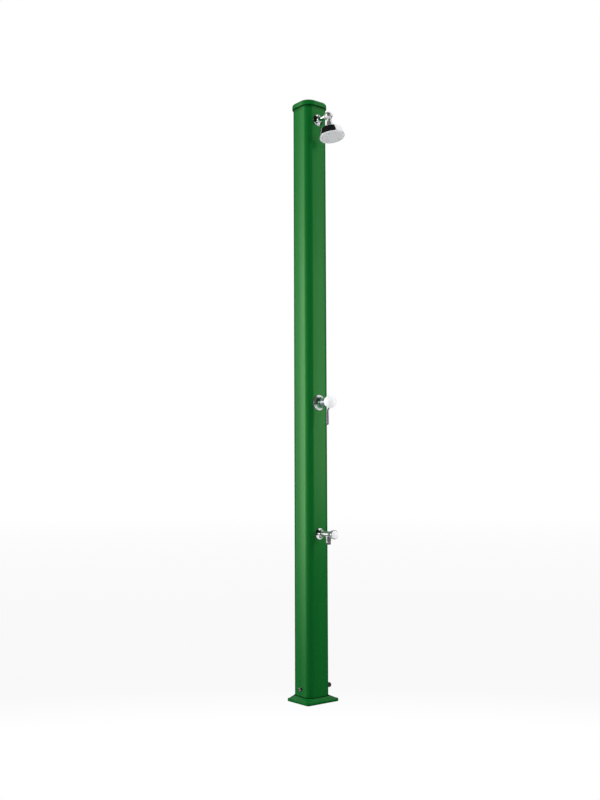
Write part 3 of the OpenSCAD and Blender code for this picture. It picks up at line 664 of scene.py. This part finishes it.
# ---------------------------------------------------------------- wall flanges
def wall_flange(name, rim, throat, bore, height, z):
    """Bell that narrows from its rim on the column to its throat; the radii come first."""
    points = [(rim - 3.0, 0.4), (rim - 2.4, 0), (rim - 0.3, 0, 0.2), (rim, 0.6, 0.5),
              (rim, 1.9, 1.0), (rim - 1.5, 3.3, 1.2)]
    for i in range(19):                  # outer skin, rim to throat
        t = i / 18
        points.append((throat + 0.6 + (rim - 3.0 - throat - 0.6) * (1 - t) ** 2.1,
                       3.9 + (height - 4.9) * t ** 0.92))
    points += [(throat + 0.3, height - 0.4, 0.3), (throat - 0.2, height, 0.3),
               (bore, height, 0.2), (bore, height - 2.4)]
    for i in range(9):                   # inner skin, throat to rim
        t = 1 - i / 8
        inner = throat - 1.2 + (rim - 5.2 - throat + 1.2) * (1 - t) ** 2.1
        points.append((max(bore, inner), 2.2 + (height - 5.0) * t ** 0.92))
    return lathe(name, points, front(z), base=FACE, sharp=40.0)


FLANGES = [                              # what it carries, rim, throat, bore, height, z, skin
    ("shower", 21.5, 10.6, 9.12, 14, SHOWER_Z, None),
    ("mixer", 28, 15.2, 13.3, 17, MIXER_Z, ROSE),
    ("tap", 20, 12.0, 10.6, 15, TAP_Z, None)]
for tag, *sizes, skin in FLANGES:
    flange = wall_flange(tag + "_wall_flange", *sizes)
    dress(flange, "column_body", "chrome", tag + "_flange", skin=skin)

# ---------------------------------------------------------------- shower arm
arm = lathe("shower_arm_tube", [
    (6, FACE - 16.9), (9, FACE - 16.9, 0.5), (9, BALL_OUT - 10.1, 0.4),
    (6, BALL_OUT - 10.1, 0.4)], front(SHOWER_Z))
dress(arm, "column_body", "chrome", "shower_arm")

# ---------------------------------------------------------------- knuckle
ACROSS = AT_BALL @ turn(90, "Y")
KNUCKLE_BALL = [(0, -12.0), (8.9, -12.0, 0.5), *arc(15, 0, range(-50, 51, 5)),
                (8.9, 12.0, 0.5), (0, 12.0)]
COLLAR = [(0, -17), (11.4, -17, 0.9), (11.4, -11.6, 1.0), (10.4, -9.6, 0.5), (9.5, -6),
          (0, -6)]
ball = lathe("knuckle_ball", KNUCKLE_BALL, ACROSS)
boolean(ball, lathe("collar", COLLAR, front(SHOWER_Z), base=BALL_OUT), "UNION")
drill(ball, front(SHOWER_Z), 9.05, BALL_OUT - 18, BALL_OUT - 10, 64)
drill(ball, ACROSS, 7.05, -20, 20, 64)


def cut_neck_slot(ob, half=5.4, outer=20.0, steps=12):
    """Cuts the fan that the neck sweeps as it swings, half being half the slot's width."""
    low, high = JOINT["head_tilt"]["range_deg"]
    points = [(-half, 0)]
    for k in range(steps + 1):
        a = math.radians(low - 0.4 + (high - low + 0.8) * k / steps)
        shift = {0: -half, steps: half}.get(k, 0)
        points.append((math.sin(a) * outer + shift * math.cos(a),
                       -math.cos(a) * outer + shift * math.sin(a)))
    points.append((half, 0))
    mesh = bmesh.new()
    near = [mesh.verts.new((-half, y, z)) for y, z in points]
    far = [mesh.verts.new((half, y, z)) for y, z in points]
    mesh.faces.new(near)
    mesh.faces.new(list(reversed(far)))
    for i in range(len(near)):
        q = (i + 1) % len(near)
        mesh.faces.new([near[i], far[i], far[q], near[q]])
    # mirrored so that local y grows the way the tilt grows: away from the column
    mirror = Matrix.Scale(-1, 4, (0, 1, 0))
    boolean(ob, new_object("cut", mesh, AT_BALL @ turn(-HEAD_TILT, "X") @ mirror))


cut_neck_slot(ball)
dress(ball, "knuckle", "chrome", "knuckle_housing", skin=PALE_SKIN)

KNUCKLE_SCREW = [(0, 9.5), (7, 9.5, 0.3), (7, 12.03), (8.1, 12.03, 0.3), (8.1, 12.7, 0.5),
                 (6.8, 13.5, 0.8), (0, 13.9)]
for side, tag, nodes in ((-1, "left", ["knuckle_caps"]), (1, "right", [])):
    place = AT_BALL @ turn(side * 90, "Y")
    screw = lathe("knuckle_screw_" + tag, KNUCKLE_SCREW, place, 64)
    drill(screw, place, 2.7, 12.3, 15, segments=6)
    dress(screw, "knuckle", "chrome", *nodes, skin=PALE_SKIN)

# ---------------------------------------------------------------- shower head
# Heights run from the ball centre along the head's own axis.
NECK = [(3.2, 6.0), (5, 6.0), (5, 27, 0.5), (3.2, 27, 0.3)]
BARREL = [
    (0, -9.4), (5.4, -9.4, 0.3), (7, -9.4, 0.4), (7, -8.3, 0.1), (5.4, -8.3, 0.1),
    (5.4, -6.9, 0.1), (7, -6.9, 0.1), (7, 6.9, 0.1), (5.4, 6.9, 0.1), (5.4, 8.3, 0.1),
    (7, 8.3, 0.1), (7, 9.4, 0.4), (0, 9.4)]
HEAD_NUT = [
    (5.05, 17.6), (8.4, 17.6, 0.4), (9.4, 18.5, 0.6), (9.4, 20.6, 0.6), (8.3, 21.6, 0.6),
    (8.3, 22.6, 0.8), (9.4, 25, 1.2), (11.2, 31, 8.0), (12.8, 38, 8.0), (14.2, 45, 6.0),
    (14.9, 48.0, 0.8), (15, 49.8, 0.6), (14.7, 51.8, 0.4), (11.05, 51.9), (11.05, 46.4),
    (7.5, 46.0), (7.5, 27.2), (5.05, 27.0)]
HEAD_SHELL = [
    (6, 46.2), (10.6, 46.2, 0.3), (11, 46.8), (11, 52.15), (22, 52.5, 6), (31, 53.8, 8),
    (37.6, 56.0, 3.0), (40.6, 59.2, 3.0), (42.4, 66.0, 12.0), (44.4, 74, 12.0),
    (46.2, 83.0, 4.0), (47, 85.6, 0.6), (47, 87.2, 0.6), (46.3, 88, 0.35), (44.9, 88, 0.3),
    (44.6, 87.2), (44.6, 80.1, 0.2), (42.7, 80.1, 0.2), (40.2, 66, 6.0), (38.8, 61.0, 2.0),
    (35, 57.8, 3.0), (6, 55.4, 0.4)]
neck = lathe("head_neck", NECK, SPRAY, 64)
barrel = lathe("barrel", BARREL, SPRAY @ turn(90, "Y"), 64)
boolean(barrel, neck, "UNION")
dress(barrel, "head", "chrome", "knuckle_barrel", skin=PALE_SKIN)
nut = lathe("head_nut_cone", HEAD_NUT, SPRAY)
dress(nut, "head", "chrome", "head_nut", skin=PALE_SKIN)
shell = lathe("head_shell_spun", HEAD_SHELL, SPRAY, 128)
dress(shell, "head", "chrome", "head_shell")

# nozzles: a moulded mat with a hollow tip at each hole of the spray plate
NOZZLE_PITCH = 8.6                       # between the rings of nozzles
NOZZLE_TWIST = 7                         # degrees each ring turns against the one inside
MAT_DISC = [(0, 80.7), (40.8, 80.7, 0.3), (40.8, 82.9, 0.3), (0, 82.9)]
NOZZLE_TIP = [(0, 83.0), (1.22, 83.0), (1.22, 87.6), (1.16, 88.3), (1.0, 88.6),
              (0.62, 88.58), (0.5, 88.2), (0.5, 86.8), (0, 86.8)]
nozzles = bmesh.new()
add_lathe(nozzles, MAT_DISC)
spots = [(0.0, 0.0)]
for k in range(1, 5):
    for i in range(6 * k):
        a = math.radians(i * 60 / k + NOZZLE_TWIST * k)
        spots.append((k * NOZZLE_PITCH * math.cos(a), k * NOZZLE_PITCH * math.sin(a)))
for x, y in spots:
    add_lathe(nozzles, NOZZLE_TIP, 20, place=move(x, y, 0))
dress(new_object("nozzle_mat_moulding", nozzles, SPRAY), "head", "nozzle_rubber", "nozzle_mat")

# ---------------------------------------------------------------- mixer
MIXER = front(MIXER_Z)
CARTRIDGE_RING = [
    (8.3, FACE + 30), (9.9, FACE + 30, 0.3), (9.9, FACE + 36.02),
    *arc(15.5, PIVOT_OUT, range(-31, 23, 4)),
    (14.2, PIVOT_OUT + 6.0, 0.5), (10.1, PIVOT_OUT + 6.0, 0.4), (8.3, FACE + 38)]
dress(lathe("cartridge_ring", CARTRIDGE_RING, MIXER), "column_body", "chrome", "cartridge_nut")

MIXER_DOME = [                           # heights from the lever's pivot
    (16.4, 4.0, 0.3), (18.2, 4.0, 0.4), (19.2, 5.4, 0.8), (21.2, 10.5, 6.0), (22.8, 15, 2.0),
    *arc(23.0, 18, range(0, 90, 5), rise=22), (0, 40),
    (0, 24.2), (4.02, 24.2), (4.02, 11.3), (7, 11.3, 0.4), (7, 34.6, 0.6), (13, 32, 3.0),
    (17.6, 26, 4.0), (19.6, 18, 3.0), (16.4, 11.5, 1.0)]
dome = lathe("mixer_dome", MIXER_DOME, MIXER, 128, base=PIVOT_OUT, step=7.5)
HANGING = MIXER @ move(0, 0, PIVOT_OUT + 10) @ turn(90, "X")    # local +Z down, +Y forward
drill(dome, HANGING, 3.02, 10, 30, 40)
dress(dome, "handle", SLOT["mixer_handle"], "mixer_handle")

# Lever blade: a loft of superellipses down local Z
LEVER_TOP = 17.0
LEVER_END = MIXER_Z - box_mm("mixer_lever")[0][2]
LEVER_ROOT = 3.0                         # radius of the round root
LEVER_TIP = 5.5                          # length of the rounded tip
LEVER_SET_BACK = 7.5                     # how far the blade steps towards the column
LEVER_RINGS, LEVER_SIDES = 72, 40
LEVER_POWER = 2 / 2.6                    # squareness of the section


def clamp(value):
    return min(1.0, max(0.0, value))


def lever_ring(t):
    """Section at the fraction t of the blade's length."""
    z = LEVER_TOP + (LEVER_END - LEVER_TOP) * t
    half_width = 4.0 + 1.5 * clamp((t - 0.10) / 0.6)
    half_depth = 3.0 - 0.5 * t
    if t < 0.06:
        half_width = half_depth = LEVER_ROOT
    into_tip = z - (LEVER_END - LEVER_TIP)
    if into_tip > 0:
        q = clamp(into_tip / LEVER_TIP)
        narrowing = math.sqrt(1 - q * q)
        half_width = max(0.4, half_width * narrowing)
        half_depth = max(0.3, half_depth * (0.35 + 0.65 * narrowing))
    u = clamp((z - 21.5) / 11.0)
    centre_y = -LEVER_SET_BACK * u * u * (3 - 2 * u)
    ring = []
    for k in range(LEVER_SIDES):
        a = 2 * math.pi * k / LEVER_SIDES
        c, s = math.cos(a), math.sin(a)
        ring.append((half_width * math.copysign(abs(c) ** LEVER_POWER, c),
                     centre_y + half_depth * math.copysign(abs(s) ** LEVER_POWER, s), z))
    return ring


# the exponent crowds the rings towards the tip
lever_rings = [lever_ring(1 - (1 - i / LEVER_RINGS) ** 1.35) for i in range(LEVER_RINGS + 1)]
lever = loft("mixer_lever_blade", lever_rings, HANGING, sharp=50.0)
dress(lever, "handle", "chrome", "mixer_lever", skin=LEVER_SKIN)

# ---------------------------------------------------------------- foot tap
TAP = front(TAP_Z)
SPOUT_FRAME = TO_METRES @ move(0, -FACE - 48, TAP_Z)    # the spout hangs down from here
TAP_BODY = [
    (0, -14.9), (10.5, -14.9, 0.6), (10.5, 56, 4.0), (11.4, 61, 6.0), (13.6, 68, 8.0),
    (15.9, 75.5, 4.0), (16.8, 78.8, 1.0), (16.8, 82.0, 0.8), (16.0, 83, 0.5), (13.9, 83, 0.4),
    (13.6, 82, 0.2), (13.6, 73, 0.3), (9, 73, 0.3), (9, 52.9), (7.5, 52.9), (7.5, 38),
    (4.6, 38), (4.6, 34), (0, 34)]
SPOUT = [(0, 0), (10.1, 0), (10.0, -10, 3.0), (9.2, -20, 10.0), (8.5, -30.2, 0.5),
         (8.0, -31, 0.3), (0, -31)]
OUTLET = [(0, -25), (6.45, -25, 0.3), (6.45, -31.05), (8.2, -31.05, 0.3), (8.25, -35.0, 0.5),
          (7.4, -36, 0.5), (5.6, -36, 0.5), (5.2, -35.2, 0.2), (5.2, -29), (0, -29)]
PUSH_BUTTON = [
    (0, 84.1), (4.52, 84.1), (4.52, 80.3, 0.2), (5.6, 80.3, 0.2), (5.6, 84), (11.2, 84),
    (11.2, 80.3, 0.2), (13.35, 80.3, 0.3), (13.35, 84.8, 1.4), (12.3, 86.9, 1.6),
    (9.4, 88.5, 6.0), (5, 89.5, 12.0), (0, 89.8)]
tap = lathe("tap_casting", TAP_BODY, TAP, base=FACE)
boolean(tap, lathe("spout", SPOUT, SPOUT_FRAME, 80), "UNION")
drill(tap, SPOUT_FRAME, 6.5, -37, -0.5, 64)
drill(tap, TAP, 7.4, FACE + 38.2, FACE + 53.5, 64)
drill(tap, TAP, 7.2, FACE - 16, FACE + 33.6, 64)
dress(tap, "column_body", "chrome", "tap_body", skin=TAP_SKIN)

outlet = lathe("spout_outlet", OUTLET, SPOUT_FRAME, 64)
jets = bmesh.new()                       # six holes in a ring and one in the centre
for k in range(7):
    a = math.radians(60 * k)
    ring_radius = 0 if k == 6 else 3.4
    add_lathe(jets, rod(0.9, -30, -24), 16,
              place=move(ring_radius * math.cos(a), ring_radius * math.sin(a), 0))
boolean(outlet, new_object("cut", jets, SPOUT_FRAME))
dress(outlet, "column_body", "black_plastic", "spout_insert")

button = lathe("tap_push_button", PUSH_BUTTON, TAP, base=FACE)
dress(button, "button", SLOT["tap_button"], "tap_button")


# ---------------------------------------------------------------- floor
def floor_material():
    m = Surface("pale_floor")
    distance = m.add("ShaderNodeVectorMath", {0: m.place}, operation="LENGTH")
    pale = m.mix(m.remap(m.noise(scale=1.3)), (0.86, 0.865, 0.87), (0.90, 0.90, 0.905))
    outward = m.remap(distance.outputs["Value"], to=(1, 0), span=(0.5, 1.8))
    grain = m.noise(scale=300.0, detail=2)
    m.shade({
        "Base Color": m.mix(outward, pale, (0.28, 0.28, 0.28)),
        "Roughness": 0.75,
        "Specular IOR Level": 0.2,
        "Normal": m.bump(grain, strength=0.04, distance=0.0004)})
    # the camera sees a white sweep, a touch greyer in the middle distance
    view = m.add("ShaderNodeCameraData").outputs["View Distance"]
    near = m.remap(view, to=(1.0, 0.945), span=(3.45, 3.95))
    far = m.remap(view, to=(0.0, 0.055), span=(6.0, 21.0))
    glow = m.add("ShaderNodeEmission", {"Strength": m.math("ADD", near, far)})
    seen = m.add("ShaderNodeLightPath").outputs["Is Camera Ray"]
    m.feed(m.output.inputs[0],
           m.mix_shader(seen, m.principled.outputs[0], glow.outputs[0]))
    return m.material


floor_mesh = bmesh.new()
bmesh.ops.create_grid(floor_mesh, x_segments=1, y_segments=1, size=30.0)
floor_data = bpy.data.meshes.new("floor")
floor_mesh.to_mesh(floor_data)
floor_mesh.free()
floor = bpy.data.objects.new("floor", floor_data)
SCENE.collection.objects.link(floor)
floor.matrix_world = move(0, 0, -0.0005)
floor_data.materials.append(floor_material())
floor.visible_glossy = False

# ---------------------------------------------------------------- camera and lights
camera_data = bpy.data.cameras.new("camera")
camera = bpy.data.objects.new("camera", camera_data)
SCENE.collection.objects.link(camera)
camera.location = (-2.3066, -2.8211, 0.7939)
camera.rotation_euler = [math.radians(a) for a in (94.54, 0.184, -38.65)]
camera_data.sensor_fit = "VERTICAL"
camera_data.sensor_height = 36.0
camera_data.lens = 44.70
camera_data.clip_end = 200
SCENE.camera = camera


def area_light(name, location, target, size, power, size_y=None):
    """Area light that mirrors and the camera do not see."""
    data = bpy.data.lights.new(name, "AREA")
    data.energy = power
    data.size = size
    if size_y:
        data.shape = "RECTANGLE"
        data.size_y = size_y
    light = bpy.data.objects.new(name, data)
    SCENE.collection.objects.link(light)
    light.location = location
    aim = Vector(target) - Vector(location)
    light.rotation_euler = aim.to_track_quat("-Z", "Y").to_euler()
    light.visible_glossy = False
    light.visible_camera = False


area_light("soft_left", (-2.6, 1.5, 1.9), target=(0, 0, 1.2), size=1.0, power=40, size_y=3.0)
area_light("soft_right", (2.2, -2.6, 1.9), target=(0, 0, 1.2), size=1.0, power=30, size_y=3.0)
area_light("top", (-0.6, -0.8, 4.6), target=(0, 0, 1.0), size=2.4, power=14)

# ---------------------------------------------------------------- world
# Rings: azimuth in degrees counterclockwise from +X, brightness.
# Heights: 0 straight down to 1 straight up, brightness.
LEFT_RING = [
    (0, 0.0), (60, 0.0), (106, 0.0), (118, 0.08), (126, 0.18), (130, 0.32), (134, 1.0),
    (146, 1.0), (154, 0.74), (163, 0.46), (175, 0.20), (190, 0.09), (212, 0.02), (230, 0.0),
    (300, 0.0)]
LEFT_HEIGHT = [
    (0.0, 0.0), (0.37, 0.02), (0.40, 0.08), (0.44, 0.30), (0.47, 0.75), (0.51, 1.0),
    (0.58, 0.85), (0.66, 0.35), (0.72, 0.0), (1.0, 0.0)]
RIGHT_RING = [
    (0, 0.0), (200, 0.0), (284, 0.0), (294, 0.18), (305, 0.36), (322, 0.38), (336, 0.08),
    (348, 0.0)]
RIGHT_HEIGHT = [
    (0.0, 0.0), (0.465, 0.0), (0.488, 0.55), (0.51, 1.0), (0.57, 0.8), (0.66, 0.35),
    (0.72, 0.0), (1.0, 0.0)]
BOX_GAIN = (6.2, 6.2, 6.0)               # brightness of the left and right soft boxes
# a white ceiling that stops on the near left, and a white sweep below
CEILING_RING = [(0, 1.0), (60, 1.0), (92, 0.5), (112, 0.01), (284, 0.01), (302, 0.9)]
CEILING_HEIGHT = [(0.0, 0.0), (0.66, 0.0), (0.73, 0.95), (1.0, 1.1)]
BELOW_HEIGHT = [(0.0, 0.95), (0.25, 0.9), (0.33, 0.0), (1.0, 0.0)]
# what lights the matt surfaces
LIT_RING = [
    (0, 0.25), (60, 0.3), (120, 0.8), (150, 1.0), (180, 0.8), (205, 0.30), (230, 0.10),
    (255, 0.20), (290, 0.80), (310, 1.0), (340, 0.5)]
LIT_HEIGHT = [(0.0, 1.0), (0.5, 1.0), (0.72, 0.85), (0.86, 0.5), (1.0, 0.3)]
LIT_GAIN = 1.1

world = bpy.data.worlds.new("studio")
SCENE.world = world
sky = Nodes(world)
direction = sky.add("ShaderNodeTexCoord").outputs["Generated"]
sky_x, sky_y, sky_z = sky.add("ShaderNodeSeparateXYZ", {0: direction}).outputs
# 0 at azimuth -180, 1 at +180
around = sky.math("MULTIPLY_ADD", sky.math("ARCTAN2", sky_y, sky_x), 1 / (2 * math.pi), 0.5)
upward = sky.math("MULTIPLY_ADD", sky_z, 0.5, 0.5)


def ramp(factor, stops):
    """Grey colour ramp from pairs of position and brightness."""
    node = sky.add("ShaderNodeValToRGB", {0: factor})
    node.color_ramp.interpolation = "EASE"
    elements = node.color_ramp.elements
    elements.remove(elements[-1])
    for i, (position, value) in enumerate(sorted(stops)):
        element = elements[0] if i == 0 else elements.new(position)
        element.position = position
        element.color = (value, value, value, 1)
    return node.outputs[0]


def patch(ring, height):
    """Brightness by azimuth times brightness by height."""
    by_azimuth = ramp(around, [(((a + 180) % 360) / 360.0, value) for a, value in ring])
    return sky.mix(1.0, by_azimuth, ramp(upward, height), blend_type="MULTIPLY")


def scale_and_add(a, gain, b):
    values = {0: a, 1: gain, 2: b}
    return sky.add("ShaderNodeVectorMath", values, operation="MULTIPLY_ADD").outputs[0]


def background(color, **settings):
    return sky.add("ShaderNodeBackground", {"Color": color, **settings}).outputs[0]


# what mirrors and gloss see: soft boxes and dark cards around the set
boxes = scale_and_add(patch(LEFT_RING, LEFT_HEIGHT), (1, 1, 1),
                      patch(RIGHT_RING, RIGHT_HEIGHT))
ends = scale_and_add(patch(CEILING_RING, CEILING_HEIGHT), (1, 1, 1),
                     ramp(upward, BELOW_HEIGHT))
mirrored = background(scale_and_add(boxes, BOX_GAIN, ends))
lighting = background(patch(LIT_RING, LIT_HEIGHT), Strength=LIT_GAIN)
ray = sky.add("ShaderNodeLightPath").outputs
unseen = sky.mix_shader(ray["Is Glossy Ray"], lighting, mirrored)
# the camera itself sees plain white
studio = sky.mix_shader(ray["Is Camera Ray"], unseen, background((1, 1, 1)))
sky.add("ShaderNodeOutputWorld", {0: studio})

SCENE.view_settings.view_transform = "Standard"
SCENE.view_settings.look = "None"
